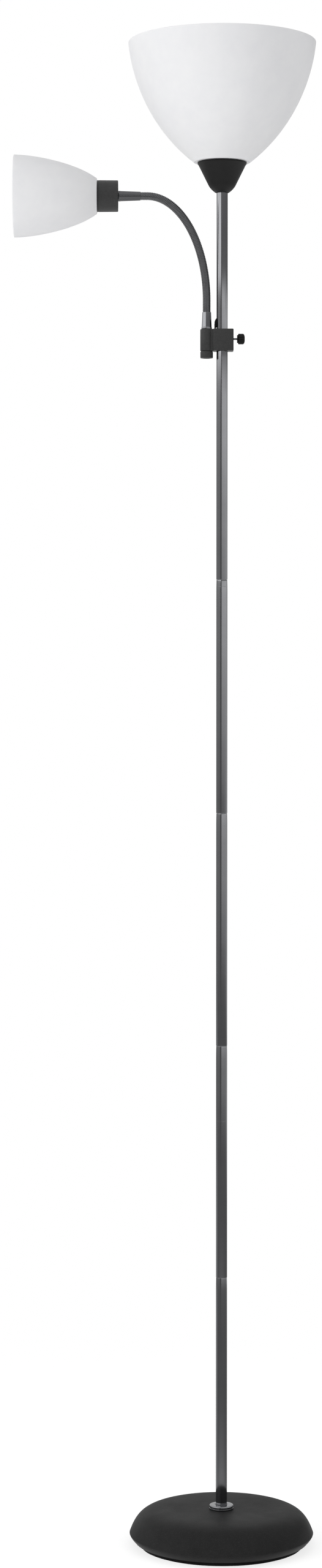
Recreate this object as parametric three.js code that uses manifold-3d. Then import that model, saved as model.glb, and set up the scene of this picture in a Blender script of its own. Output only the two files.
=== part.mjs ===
// Torchiere floor lamp with a gooseneck reading light.
// Millimetres, +Z up, origin on the floor at the pole's axis. The reading light points along -X.

import * as THREE from 'three';
import { mergeVertices } from 'three/addons/utils/BufferGeometryUtils.js';
import Module from 'manifold-3d';

const wasm = await Module();
wasm.setup();

// Driving dimensions

const GAP = 0.3; // clearance that touching pieces keep

const BASE = { radius: 111, foot: 98, widest: 14.4, top: 43, wall: 1.4, hole: 6.2, power: 11, tuck: 1.4 };
const PAD = { radius: 98.5, thickness: 5.2 };
const PLATE = { radius: 100, hole: 22, bottom: 5.5, thickness: 1 };
const RECESS = { radius: 27, ceiling: 30.7 };
const CHANNEL = { halfWidth: 5.5, headroom: 5.5 };
const CABLE = { radius: 2, inletHeight: 14.4, runHeight: 11 };
const GLAND = {
  bore: 2.3, shank: 3.9, nut: 4.6, flange: 5.2, start: 103.5, nutEnd: 105.5, seat: 111.3, end: 113,
};
const FOOT_NUT = { acrossFlats: 17, height: 6, washerRadius: 13, washerThickness: 1.5 };
const COLLAR = { bore: 7.1, radius: 14.5, bottom: 43.3, height: 5, round: 2 };

const POLE = { radius: 6.8, wall: 0.9, start: 43.3, firstJoint: 324.1, pitch: 280, sections: 6, top: 1625.2 };
const STUD = { radius: 5.6, bore: 3.2, halfLength: 13 };

const CUP = { bottom: 1625.5, bend: 1634.7, top: 1661.2, bendRadius: 16.5, topRadius: 29.5, wall: 1.8 };
const CUP_NUT = { acrossFlats: 16, height: 5 };
const TOP_SHADE = {
  bottom: 1661.7, height: 142, neck: 33.6, neckPull: [60, 46.6], rim: 112, rimPull: [2.7, 30.5], wall: 2,
  hole: 20.2, steps: 7, sides: 32,
};
const TOP_RING = { inner: 20.4, outer: 25, height: 6 };
const TOP_HOLDER = {
  stemBore: 5.9, foot: 11.5, body: 17.5, flange: 24, flangeThickness: 2.2, sleeve: 19.6, sleeveLength: 18,
  cavity: 15, cavityFloor: 9, contact: 5, contactTop: 10.2,
  shell: 13.7, shellBottom: 11, shellReach: 16, shellSides: 16,
};
const TOP_BULB = { cap: 13, capBottom: 11, capReach: 17, neck: 14, globe: 30, centreReach: 72, sides: 14 };

const CLAMP = { bottom: 1437.1, top: 1463.1, left: -10.7, right: 13.7, halfDepth: 9.5, barrelRadius: 7.7 };
const WEB = { halfDepth: 6 };
const BARREL_NUT = { height: 8.1, studBore: 4.3 };
const NECK_X = -18.4; // axis of the clamp's barrel and of the gooseneck's foot
const SCREW = { height: 1451.5, radius: 1.35, knobStart: 18, knobRadius: 6.35, knobLength: 9.2 };

const NECK = {
  radius: 4.75, bore: 1.5, foot: 1483.4, lead: 14, tailLead: 8, across: 71.1, rise: 124.1, joints: 7,
};
const BALL = { radius: 3.9, socket: 4.25, stem: 2.6, shoulder: 3.8 };
const SHANK = { radius: 4.2, length: 9 };

const BUSH = { rise: 2.6, height: 10.4, proud: 2.3, halfAngle: 0.55, slope: 0.42 };
const BUSH_HOLE = { low: 3, high: 12, halfWidth: 2.4 };
const LEAD = { x: -8.2, radius: 1, bottom: -8.4, top: 6.5 };

const FERRULE = { thin: 5.25, wide: 6.25, foot: 6.4, length: 26.4, stud: 4, bore: 2.2, socket: 4.5 };
const HOLDER = { radius: 18.75, length: 25, wall: 1.6, floor: 2.5 };
const HOLDER_NUT = { acrossFlats: 11, height: 4 };
const READ_SHADE = {
  height: 99.2, neck: 20.9, neckPull: [18.1, 24.5], rim: 48.7, rimPull: [0, 25], wall: 2, hole: 14.2,
  steps: 6, sides: 24,
};
const READ_RING = { inner: 14.3, outer: 18, height: 5.5 };
const READ_HOLDER = {
  stemBore: 4.3, foot: 13, body: 15, flange: 16.6, flangeThickness: 2, sleeve: 13.7, sleeveLength: 15,
  cavity: 9.5, cavityFloor: 5.5, contact: 4.5, contactTop: 6.8,
  shell: 7.6, shellBottom: 7.4, shellReach: 13, shellSides: 14,
};
const READ_BULB = { cap: 6.8, capBottom: 7.6, capReach: 16, neck: 8, globe: 22.5, centreReach: 43, sides: 12 };
const BULB_WALL = 1.2;
const SHELL_WALL = 0.5;

// Finishes

const finish = (color, roughness, metalness = 0) => ({ color, roughness, metalness });
const FINISHES = {
  charcoal: finish(0x3d3e40, 0.42, 0.6),
  gunmetal: finish(0x5a5b5e, 0.2, 1),
  blackPlastic: finish(0x1c1c1d, 0.5),
  greyPlastic: finish(0x46484b, 0.45),
  opal: finish(0xeceff2, 0.35),
  zinc: finish(0xb8babd, 0.35, 1),
  brass: finish(0xc9a45c, 0.3, 1),
  cement: finish(0x8f8d88, 0.9),
  foam: finish(0x161616, 0.95),
  rubber: finish(0x141414, 0.8),
  cableSheath: finish(0x202020, 0.6),
};

// Geometry helpers

const lamp = new THREE.Group();

function signedVolume(geometry) {
  const position = geometry.attributes.position;
  const index = geometry.index;
  const [a, b, c] = [new THREE.Vector3(), new THREE.Vector3(), new THREE.Vector3()];
  let sum = 0;
  for (let i = 0; i < index.count; i += 3) {
    a.fromBufferAttribute(position, index.getX(i));
    b.fromBufferAttribute(position, index.getX(i + 1));
    c.fromBufferAttribute(position, index.getX(i + 2));
    sum += a.dot(b.cross(c)) / 6;
  }
  return sum;
}

// Closed geometry with shared vertices merged and its faces pointing out.
function closed(source) {
  const bare = source.clone();
  for (const name of ['normal', 'uv']) bare.deleteAttribute(name);
  const geometry = mergeVertices(bare, 1e-4);
  const kept = [];
  const index = geometry.index;
  for (let i = 0; i < index.count; i += 3) {
    const face = [index.getX(i), index.getX(i + 1), index.getX(i + 2)];
    if (new Set(face).size === 3) kept.push(face);
  }
  geometry.setIndex(kept.flat());
  if (signedVolume(geometry) < 0) geometry.setIndex(kept.flatMap(([a, b, c]) => [a, c, b]));
  return geometry;
}

// Solid of revolution about Z from [radius, height] points. An outline off the axis closes on itself.
function turned(outline, sides = 20) {
  const points = outline.map(([radius, height]) => new THREE.Vector2(radius, height));
  const onAxis = points[0].x === 0 && points.at(-1).x === 0;
  if (!onAxis) points.push(points[0].clone());
  return closed(new THREE.LatheGeometry(points, sides).rotateX(Math.PI / 2));
}

const ring = (inner, outer, low, high, sides = 16) =>
  turned([[inner, low], [outer, low], [outer, high], [inner, high]], sides);

const rod = (radius, low, high, sides = 16) =>
  turned([[0, low], [radius, low], [radius, high], [0, high]], sides);

// Points of an arc about (centreRadius, centreHeight), angles in degrees from the outward direction.
function arc(centreRadius, centreHeight, radius, from, to, steps) {
  return Array.from({ length: steps + 1 }, (_, i) => {
    const angle = THREE.MathUtils.degToRad(from + ((to - from) * i) / steps);
    return [centreRadius + radius * Math.cos(angle), centreHeight + radius * Math.sin(angle)];
  });
}

function hexNut(acrossFlats, bore, low, thickness) {
  const outline = new THREE.Shape();
  for (let i = 0; i < 6; i++) {
    const angle = (i * Math.PI) / 3;
    const reach = acrossFlats / 2 / Math.cos(Math.PI / 6);
    const point = [reach * Math.cos(angle), reach * Math.sin(angle)];
    if (i === 0) outline.moveTo(...point);
    else outline.lineTo(...point);
  }
  outline.holes.push(new THREE.Path().absarc(0, 0, bore, 0, 2 * Math.PI, true));
  const nut = new THREE.ExtrudeGeometry(outline, { depth: thickness, bevelEnabled: false, curveSegments: 12 });
  return closed(nut.translate(0, 0, low));
}

function toSolid(geometry) {
  const shape = closed(geometry);
  return new wasm.Manifold(new wasm.Mesh({
    numProp: 3,
    vertProperties: new Float32Array(shape.attributes.position.array),
    triVerts: new Uint32Array(shape.index.array),
  }));
}

function toGeometry(solid) {
  const mesh = solid.getMesh();
  const geometry = new THREE.BufferGeometry();
  geometry.setAttribute('position', new THREE.BufferAttribute(new Float32Array(mesh.vertProperties), 3));
  geometry.setIndex(Array.from(mesh.triVerts));
  return geometry;
}

function cut(body, ...tools) {
  return toGeometry(tools.reduce((left, tool) => left.subtract(toSolid(tool)), toSolid(body)));
}

function join(...bodies) {
  return toGeometry(bodies.map(toSolid).reduce((whole, next) => whole.add(next)));
}

function box(low, high) {
  const size = low.map((value, i) => high[i] - value);
  const centre = low.map((value, i) => (value + high[i]) / 2);
  return new THREE.BoxGeometry(...size).translate(...centre);
}

function add(name, finishName, geometry, place = {}) {
  const mesh = new THREE.Mesh(geometry, new THREE.MeshStandardMaterial(FINISHES[finishName]));
  mesh.name = name;
  if (place.position) mesh.position.set(...place.position);
  if (place.rotation) mesh.rotation.set(...place.rotation);
  lamp.add(mesh);
}

// Base: a pressed shell over a cement weight, closed by a plate and a foam pad

// Radius of the shell's tucked-in side below its widest ring.
function tuckRadius(height, inset) {
  return BASE.radius - inset - (BASE.radius - BASE.foot) * (1 - height / BASE.widest) ** BASE.tuck;
}

// Outline from the centre hole over the dome to the foot, inset from the shell's outside.
function domeOutline(inset, hole, bottom, domeSteps) {
  const radius = BASE.radius - inset;
  const rise = BASE.top - inset - BASE.widest;
  const tuckSteps = 2;
  const points = [];
  for (let i = 0; i <= domeSteps; i++) {
    const share = 1 - (1 - i / domeSteps) ** 2;
    const r = Math.max(share * radius, hole);
    points.push([r, BASE.widest + rise * (1 - (r / radius) ** BASE.power)]);
  }
  for (let i = 1; i <= tuckSteps; i++) {
    const height = BASE.widest + ((bottom - BASE.widest) * i) / tuckSteps;
    points.push([tuckRadius(height, inset), height]);
  }
  return points;
}

function buildBase() {
  const sides = 32;
  const weightBottom = PLATE.bottom + PLATE.thickness + GAP;
  const weightInset = BASE.wall + 4 * GAP;

  add('floor_pad', 'foam', rod(PAD.radius, 0, PAD.thickness, sides));
  add('base_plate', 'zinc', ring(PLATE.hole, PLATE.radius, PLATE.bottom, PLATE.bottom + PLATE.thickness, sides));

  const domeSteps = 7;
  const outside = domeOutline(0, BASE.hole, PLATE.bottom, domeSteps);
  const inside = domeOutline(BASE.wall, BASE.hole, PLATE.bottom, domeSteps);
  const glandHole = rod(GLAND.shank + GAP, BASE.foot - 7, BASE.radius + 5);
  glandHole.rotateX(-Math.PI / 2).translate(0, 0, CABLE.inletHeight);
  add('base_shell', 'charcoal', cut(turned([...outside, ...inside.reverse()], sides), glandHole));

  const weight = turned([
    ...domeOutline(weightInset, BASE.hole, weightBottom, domeSteps),
    [RECESS.radius, weightBottom],
    [RECESS.radius, RECESS.ceiling],
    [BASE.hole, RECESS.ceiling],
  ], sides);
  const channel = box(
    [-CHANNEL.halfWidth, RECESS.radius - 5, 0],
    [CHANNEL.halfWidth, BASE.radius + 5, CABLE.inletHeight + CHANNEL.headroom],
  );
  add('base_weight', 'cement', cut(weight, channel));

  const gland = turned([
    [GLAND.bore, GLAND.start], [GLAND.nut, GLAND.start], [GLAND.nut, GLAND.nutEnd], [GLAND.shank, GLAND.nutEnd],
    [GLAND.shank, GLAND.seat], [GLAND.flange, GLAND.seat], [GLAND.flange, GLAND.end], [GLAND.bore, GLAND.end],
  ], 16);
  add('cord_gland', 'rubber', gland, { position: [0, 0, CABLE.inletHeight], rotation: [-Math.PI / 2, 0, 0] });

  const hole = STUD.radius + GAP;
  const washerTop = RECESS.ceiling - GAP;
  const nutTop = washerTop - FOOT_NUT.washerThickness - GAP;
  const nutBottom = nutTop - FOOT_NUT.height;
  add('base_washer', 'zinc', ring(hole, FOOT_NUT.washerRadius, washerTop - FOOT_NUT.washerThickness, washerTop));
  add('base_nut', 'zinc', hexNut(FOOT_NUT.acrossFlats, hole, nutBottom, FOOT_NUT.height));
  add('base_nipple', 'zinc', ring(STUD.bore, STUD.radius, nutBottom - 0.5, POLE.start + 30));

  const { bore, radius, bottom, height, round } = COLLAR;
  add('foot_collar', 'gunmetal', turned([
    [bore, bottom], [radius, bottom], ...arc(radius - round, bottom + height - round, round, 0, 90, 2),
    [bore, bottom + height],
  ]));
}

// Pole: equal tubes screwed together on hidden studs, with the cable inside

function buildPole() {
  const joints = Array.from({ length: POLE.sections - 1 }, (_, i) => POLE.firstJoint + i * POLE.pitch);
  const ends = [POLE.start - GAP / 2, ...joints, POLE.top + GAP / 2];
  const bushHole = box(
    [-POLE.radius - 3, -BUSH_HOLE.halfWidth, CLAMP.top + BUSH_HOLE.low],
    [-POLE.radius + 2.2, BUSH_HOLE.halfWidth, CLAMP.top + BUSH_HOLE.high],
  );
  for (let i = 0; i < POLE.sections; i++) {
    const [low, high] = [ends[i] + GAP / 2, ends[i + 1] - GAP / 2];
    const [inner, outer] = [POLE.radius - POLE.wall, POLE.radius];
    const tube = ring(inner, outer, low, high);
    const last = i === POLE.sections - 1;
    add(`pole_tube_${i + 1}`, 'gunmetal', last ? cut(tube, bushHole) : tube);
  }
  joints.forEach((height, i) => {
    const stud = ring(STUD.bore, STUD.radius, height - STUD.halfLength, height + STUD.halfLength, 12);
    add(`pole_coupler_${i + 1}`, 'zinc', stud);
  });

  const route = new THREE.CatmullRomCurve3([
    [0, 112, CABLE.inletHeight], [0, 104, CABLE.inletHeight], [0, 88, 12.6], [0, 60, CABLE.runHeight],
    [0, 30, CABLE.runHeight], [0, 12, CABLE.runHeight + 0.4], [0, 3.2, 15.5], [0, 0.3, 22], [0, 0, 29],
    [0, 0, 60], [0, 0, 800], [0, 0, 1642.7],
  ].map((point) => new THREE.Vector3(...point)));
  route.getUtoTmapping = (u) => u; // even steps between the route's points, so that bends get enough of them
  const section = new THREE.Shape().absarc(0, 0, CABLE.radius, 0, 2 * Math.PI);
  const cable = new THREE.ExtrudeGeometry(section, { steps: 33, curveSegments: 3, extrudePath: route });
  add('pole_cable', 'cableSheath', closed(cable));
}

// Cubic outline of a shade from its neck to its rim, as [radius, height] points above its underside.
function shadeOutline({ neck, neckPull, rim, rimPull, height }, inset, from, steps) {
  const curve = new THREE.CubicBezierCurve(
    new THREE.Vector2(neck - inset, 0),
    new THREE.Vector2(neck - inset + neckPull[0], neckPull[1]),
    new THREE.Vector2(rim - inset - rimPull[0], height - rimPull[1]),
    new THREE.Vector2(rim - inset, height),
  );
  return Array.from({ length: steps + 1 }, (_, i) => curve.getPoint(from + ((1 - from) * i) / steps))
    .map((point) => [point.x, point.y]);
}

const insideOf = (spec) => shadeOutline(spec, spec.wall, 0.03, spec.steps - 1);
const floorOf = (spec) => insideOf(spec)[0][1];

// Open-mouthed shade with a flat floor that has a hole for the lampholder.
function shade(spec) {
  const outside = shadeOutline(spec, 0, 0, spec.steps);
  const inside = insideOf(spec).reverse();
  return turned([[spec.hole, 0], ...outside, ...inside, [spec.hole, floorOf(spec)]], spec.sides);
}

// A hollow globe turned from one outline that starts and ends on the axis.
function bulbGlobe({ neck, globe, sides }, bottom, centre) {
  const skin = (inset) => [
    [neck - inset, bottom],
    [neck - inset + (globe - neck) * 0.3, bottom + (centre - bottom) * 0.42],
    ...arc(0, centre, globe - inset, -38, 90, 5),
  ];
  const outside = skin(0);
  const inside = skin(BULB_WALL);
  outside.at(-1)[0] = 0;
  inside.at(-1)[0] = 0;
  return turned([...inside.reverse(), ...outside], sides);
}

// Lampholder, contact, screw shell and bulb on one axis, with the holder's underside at z = 0.
function addLamp(prefix, holder, bulb, flangeTop, at) {
  const { stemBore, foot, body, flange, flangeThickness, sleeve, sleeveLength, cavity, cavityFloor } = holder;
  const bodyTop = flangeTop - flangeThickness;
  const sleeveTop = flangeTop + sleeveLength;
  const wireHole = 2.6;
  const seat = cavityFloor - 3;
  add(`${prefix}_lampholder`, 'blackPlastic', turned([
    [stemBore, 0], [foot, 0], [body, (body - foot) * 1.8], [body, bodyTop], [flange, bodyTop],
    [flange, flangeTop], [sleeve, flangeTop], [sleeve, sleeveTop], [cavity, sleeveTop],
    [cavity, cavityFloor], [wireHole, cavityFloor], [wireHole, seat], [stemBore, seat],
  ], 14), at);

  const { contact, contactTop, shell, shellBottom, shellReach, shellSides } = holder;
  const thread = ring(shell, shell + SHELL_WALL, shellBottom, flangeTop + shellReach, shellSides);
  add(`${prefix}_contact`, 'brass', ring(3, contact, cavityFloor + GAP, contactTop, 10), at);
  add(`${prefix}_screw_shell`, 'brass', thread, at);

  const { cap, capBottom, capReach, centreReach } = bulb;
  const capTop = flangeTop + capReach;
  add(`${prefix}_bulb_cap`, 'zinc', turned([
    [0, capBottom], [cap * 0.35, capBottom], [cap, capBottom + 4], [cap, capTop], [0, capTop],
  ], 14), at);
  add(`${prefix}_bulb_globe`, 'opal', bulbGlobe(bulb, capTop + GAP, flangeTop + centreReach), at);
}

function buildTopLight() {
  add('top_nipple', 'zinc', ring(STUD.bore, STUD.radius, POLE.top - 22, CUP.bottom + 14));

  const slope = (CUP.topRadius - CUP.bendRadius) / (CUP.top - CUP.bend);
  const bend = new THREE.QuadraticBezierCurve(
    new THREE.Vector2(8, CUP.bottom),
    new THREE.Vector2(CUP.bendRadius - 5 * slope, CUP.bend - 5),
    new THREE.Vector2(CUP.bendRadius, CUP.bend),
  ).getPoints(3).map((point) => [point.x, point.y]);
  const floor = CUP.bottom + 4;
  const hole = STUD.radius + GAP;
  add('shade_cup', 'blackPlastic', turned([
    [hole, CUP.bottom], ...bend, [CUP.topRadius, CUP.top], [CUP.topRadius - CUP.wall, CUP.top],
    [CUP.bendRadius - CUP.wall, CUP.bend], [CUP.bendRadius - 2 * CUP.wall - 1, floor], [hole, floor],
  ]));
  add('cup_locknut', 'zinc', hexNut(CUP_NUT.acrossFlats, hole, floor + GAP, CUP_NUT.height));

  const holderFoot = floor + CUP_NUT.height + 2 * GAP;
  const flangeTop = TOP_SHADE.bottom - GAP - holderFoot;
  addLamp('top', TOP_HOLDER, TOP_BULB, flangeTop, { position: [0, 0, holderFoot] });

  add('top_shade', 'opal', shade(TOP_SHADE), { position: [0, 0, TOP_SHADE.bottom] });
  const { inner, outer, height } = TOP_RING;
  const ringLow = TOP_SHADE.bottom + floorOf(TOP_SHADE) + GAP;
  add('top_shade_ring', 'blackPlastic', ring(inner, outer, ringLow, ringLow + height));
}

// Clamp that carries the gooseneck, its thumbscrew, and the short lead from the pole

function buildClamp() {
  const height = CLAMP.top - CLAMP.bottom;
  const block = box([CLAMP.left, -CLAMP.halfDepth, CLAMP.bottom], [CLAMP.right, CLAMP.halfDepth, CLAMP.top]);
  const web = box([NECK_X, -WEB.halfDepth, CLAMP.bottom], [CLAMP.left + 1, WEB.halfDepth, CLAMP.top]);
  const barrel = rod(CLAMP.barrelRadius, CLAMP.bottom, CLAMP.top, 20).translate(NECK_X, 0, 0);

  const poleBore = rod(POLE.radius + GAP, CLAMP.bottom - 1, CLAMP.top + 1, 20);
  const studBore = rod(BARREL_NUT.studBore, CLAMP.bottom - 1, CLAMP.top + 1).translate(NECK_X, 0, 0);
  const screwHole = rod(SCREW.radius + GAP, 0, 30, 16).rotateY(Math.PI / 2).translate(0, 0, SCREW.height);
  const wireWay = rod(LEAD.radius + 2 * GAP, 0, 12, 12).rotateY(-Math.PI / 2).translate(-7, 0, CLAMP.top - 7);

  // The lead drops into a curved slot beside the pole, so that the clamp can swivel past it.
  const half = THREE.MathUtils.degToRad(52);
  const sector = new THREE.Shape();
  sector.absarc(0, 0, 10, Math.PI - half, Math.PI + half, false);
  sector.absarc(0, 0, POLE.radius, Math.PI + half, Math.PI - half, true);
  const slot = new THREE.ExtrudeGeometry(sector, { depth: 10, bevelEnabled: false, curveSegments: 10 });
  slot.translate(0, 0, CLAMP.top - 9);

  const body = join(block, web, barrel);
  add('clamp_body', 'greyPlastic', cut(body, poleBore, studBore, screwHole, wireWay, slot));
  const nut = ring(BARREL_NUT.studBore, CLAMP.barrelRadius, -GAP - BARREL_NUT.height, -GAP);
  add('clamp_nut', 'greyPlastic', nut, { position: [NECK_X, 0, CLAMP.bottom] });

  const studEnd = -height - 7;
  const top = NECK.foot - CLAMP.top;
  const seat = top - SHANK.length - 1;
  const { thin, foot, stud, bore, socket } = FERRULE;
  add('lower_ferrule', 'gunmetal', turned([
    [bore, studEnd], [stud, studEnd], [stud, GAP], [foot, GAP], [foot, 2], [thin, top],
    [socket, top], [socket, seat], [bore, seat],
  ], 14), { position: [NECK_X, 0, CLAMP.top] });

  const along = { rotation: [0, Math.PI / 2, 0], position: [0, 0, SCREW.height] };
  const { knobStart, knobRadius, knobLength } = SCREW;
  const end = knobStart + knobLength;
  const pocket = SCREW.radius + GAP;
  add('thumbscrew_stem', 'zinc', rod(SCREW.radius, POLE.radius + GAP, end - 3, 12), along);
  add('thumbscrew_knob', 'blackPlastic', turned([
    [0, end - 2.7], [pocket, end - 2.7], [pocket, knobStart], [4.6, knobStart], [knobRadius, knobStart + 1.8],
    [knobRadius, end - 2], [knobRadius - 1.4, end - 0.4], [0, end],
  ], 16), along);

  // The bush is a sloping hood on the pole with a plug in the pole's wall, and the lead hangs out of it.
  const { rise, height: hoodHeight, proud, halfAngle, slope } = BUSH;
  const collar = new THREE.Shape();
  collar.absarc(0, 0, POLE.radius + proud, Math.PI - halfAngle, Math.PI + halfAngle, false);
  collar.absarc(0, 0, POLE.radius + GAP, Math.PI + halfAngle, Math.PI - halfAngle, true);
  const hood = new THREE.ExtrudeGeometry(collar, { depth: hoodHeight, bevelEnabled: false, curveSegments: 6 });
  const plugWidth = BUSH_HOLE.halfWidth - GAP;
  const plug = box([-POLE.radius - 1, -plugWidth, 1.2], [-POLE.radius + 0.9, plugWidth, 9]);
  const slopeCut = box([-8, -9, 0], [0, 9, 12]).rotateY(slope).translate(-POLE.radius - 2.2, 0, hoodHeight - 3);
  const leadHole = rod(LEAD.radius + 0.25, -1, 5, 12).translate(LEAD.x, 0, 0);
  add('lead_bush', 'rubber', cut(join(hood, plug), slopeCut, leadHole), { position: [0, 0, CLAMP.top + rise] });
  const lead = rod(LEAD.radius, LEAD.bottom, LEAD.top, 10);
  add('reading_lead', 'cableSheath', lead, { position: [LEAD.x, 0, CLAMP.top] });
}

// Gooseneck: short links with ball ends in sockets, along a quarter ellipse

function neckPoints() {
  const centre = [NECK_X - NECK.across, NECK.foot + NECK.lead];
  return Array.from({ length: NECK.joints }, (_, i) => {
    const angle = (i / (NECK.joints - 1)) * (Math.PI / 2);
    return [centre[0] + NECK.across * Math.cos(angle), centre[1] + NECK.rise * Math.sin(angle)];
  });
}

const headHeight = NECK.foot + NECK.lead + NECK.rise;
const neckEnd = NECK_X - NECK.across - NECK.tailLead;

const ballEnd = () => {
  const tip = THREE.MathUtils.radToDeg(Math.asin(Math.sqrt(1 - (NECK.bore / BALL.radius) ** 2)));
  const waist = THREE.MathUtils.radToDeg(Math.acos(BALL.stem / BALL.radius));
  return [...arc(0, 0, BALL.radius, -tip, waist, 4), [BALL.stem, BALL.shoulder], [NECK.radius, BALL.shoulder]];
};

const socketEnd = (height) => {
  const tip = THREE.MathUtils.radToDeg(Math.acos(NECK.bore / BALL.socket));
  return [[NECK.radius, height], ...arc(0, height, BALL.socket, 0, -tip, 3)];
};

function buildNeck() {
  const points = [[NECK_X, NECK.foot], ...neckPoints(), [neckEnd, headHeight]];
  for (let i = 0; i + 1 < points.length; i++) {
    const [from, to] = [points[i], points[i + 1]];
    const length = Math.hypot(to[0] - from[0], to[1] - from[1]);
    const tilt = Math.atan2(to[0] - from[0], to[1] - from[1]);
    const first = i === 0;
    const last = i === points.length - 2;
    const footShank = [
      [NECK.bore, -SHANK.length], [SHANK.radius, -SHANK.length], [SHANK.radius, GAP], [NECK.radius, GAP],
    ];
    const tailShank = [
      [NECK.radius, length - GAP], [SHANK.radius, length - GAP],
      [SHANK.radius, length + SHANK.length], [NECK.bore, length + SHANK.length],
    ];
    const outline = [...(first ? footShank : ballEnd()), ...(last ? tailShank : socketEnd(length))];
    add(`neck_link_${i}`, 'greyPlastic', turned(outline, 10), {
      position: [from[0], 0, from[1]],
      rotation: [0, tilt, 0],
    });
  }
}

// Reading light: everything is turned about its own axis and laid along -X

function buildReadingLight() {
  const along = (start) => ({ position: [start, 0, headHeight], rotation: [0, -Math.PI / 2, 0] });
  const { thin, wide, length: ferruleLength, stud, bore, socket } = FERRULE;
  const { radius, length, wall, floor } = HOLDER;
  const studEnd = ferruleLength + floor + GAP + HOLDER_NUT.height + 0.5;
  const seat = SHANK.length + 1;
  add('upper_ferrule', 'gunmetal', turned([
    [socket, 0], [thin, 0], [wide, ferruleLength], [stud, ferruleLength], [stud, studEnd], [bore, studEnd],
    [bore, seat], [socket, seat],
  ], 14), along(neckEnd));

  const holderStart = neckEnd - ferruleLength - GAP;
  const edge = 1.2;
  add('holder_cup', 'greyPlastic', turned([
    [BARREL_NUT.studBore, 0], [radius - edge, 0], [radius, edge], [radius, length], [radius - wall, length],
    [radius - wall, floor], [BARREL_NUT.studBore, floor],
  ]), along(holderStart));
  const nut = hexNut(HOLDER_NUT.acrossFlats, BARREL_NUT.studBore, floor + GAP, HOLDER_NUT.height);
  add('holder_locknut', 'zinc', nut, along(holderStart));

  const foot = floor + HOLDER_NUT.height + 2 * GAP;
  const flangeTop = length + GAP / 2 - foot;
  addLamp('reading', READ_HOLDER, READ_BULB, flangeTop, along(holderStart - foot));

  const shadeStart = holderStart - length - GAP;
  const { inner, outer, height } = READ_RING;
  add('reading_shade', 'opal', shade(READ_SHADE), along(shadeStart));
  const ringStart = shadeStart - floorOf(READ_SHADE) - GAP;
  add('reading_shade_ring', 'blackPlastic', ring(inner, outer, 0, height), along(ringStart));
}

buildBase();
buildPole();
buildTopLight();
buildClamp();
buildNeck();
buildReadingLight();

export default lamp;
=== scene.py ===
"""Looks of the torchiere floor lamp with a gooseneck reading light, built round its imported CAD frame.

Outlines are [radius, height] points in millimetres. Everything is placed from the boxes of the CAD nodes.
"""

import math

import bmesh
import bpy
from mathutils import Matrix, Vector


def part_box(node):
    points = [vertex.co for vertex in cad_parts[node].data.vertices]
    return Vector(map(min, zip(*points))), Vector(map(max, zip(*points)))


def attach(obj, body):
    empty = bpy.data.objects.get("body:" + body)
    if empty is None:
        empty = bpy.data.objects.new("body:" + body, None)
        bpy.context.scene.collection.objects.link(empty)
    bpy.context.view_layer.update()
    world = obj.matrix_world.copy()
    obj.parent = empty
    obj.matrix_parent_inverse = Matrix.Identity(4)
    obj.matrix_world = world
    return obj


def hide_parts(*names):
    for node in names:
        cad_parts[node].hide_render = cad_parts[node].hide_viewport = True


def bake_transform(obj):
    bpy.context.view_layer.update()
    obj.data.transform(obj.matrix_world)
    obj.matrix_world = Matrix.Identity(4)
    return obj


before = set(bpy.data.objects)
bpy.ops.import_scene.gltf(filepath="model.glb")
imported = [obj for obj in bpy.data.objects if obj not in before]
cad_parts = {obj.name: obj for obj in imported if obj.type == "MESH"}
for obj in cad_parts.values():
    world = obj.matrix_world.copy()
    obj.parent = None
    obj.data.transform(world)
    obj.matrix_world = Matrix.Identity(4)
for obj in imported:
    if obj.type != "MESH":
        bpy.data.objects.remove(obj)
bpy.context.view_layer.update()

MM = 0.001
TURN = 2 * math.pi


# Placing

def low(node):
    """Lowest corner of a CAD node, in millimetres."""
    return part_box(node)[0] / MM


def high(node):
    """Highest corner of a CAD node, in millimetres."""
    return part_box(node)[1] / MM


def upright(z, x=0.0):
    """Outline heights run up from z, round the vertical axis at x."""
    return Matrix.Translation((x, 0, z))


HEAD_Z = (low("holder_cup").z + high("holder_cup").z) / 2
NECK_X = (low("clamp_nut").x + high("clamp_nut").x) / 2


def sideways(x, z=HEAD_Z):
    """Outline heights run along -X from x, round the horizontal axis at height z."""
    return Matrix.Translation((x, 0, z)) @ Matrix.Rotation(-math.pi / 2, 4, "Y")


# Materials

def node(tree, kind, inputs=None, **settings):
    made = tree.nodes.new(kind)
    for key, value in settings.items():
        setattr(made, key, value)
    for key, value in (inputs or {}).items():
        if isinstance(value, bpy.types.NodeSocket):
            tree.links.new(value, made.inputs[key])
        else:
            made.inputs[key].default_value = value
    return made


def noise(tree, coords, scale, detail=3.0, rough=0.5, stretch=(1, 1, 1), offset=0.0):
    moved = node(tree, "ShaderNodeMapping", {"Vector": coords, "Scale": stretch, "Location": (offset,) * 3})
    inputs = {"Vector": moved.outputs[0], "Scale": scale, "Detail": detail, "Roughness": rough}
    return node(tree, "ShaderNodeTexNoise", inputs).outputs["Fac"]


def remap(tree, value, a, b, c, d):
    return node(tree, "ShaderNodeMapRange",
                {"Value": value, "From Min": a, "From Max": b, "To Min": c, "To Max": d}).outputs["Result"]


def math_node(tree, operation, *values):
    inputs = dict(enumerate(values))
    return node(tree, "ShaderNodeMath", inputs, operation=operation).outputs[0]


def smooth(tree, value, a, b, c, d):
    """remap with soft ends."""
    inputs = {"Value": value, "From Min": a, "From Max": b, "To Min": c, "To Max": d}
    return node(tree, "ShaderNodeMapRange", inputs, interpolation_type="SMOOTHSTEP").outputs["Result"]


def mix_colour(tree, share, a, b):
    return node(tree, "ShaderNodeMix", {0: share, 6: a, 7: b}, data_type="RGBA").outputs[2]


def grey(level, tint=(1, 1, 1)):
    """A colour from an 8-bit sRGB level and a slight tint."""
    linear = ((level / 255 + 0.055) / 1.055) ** 2.4
    return (linear * tint[0], linear * tint[1], linear * tint[2], 1)


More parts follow.
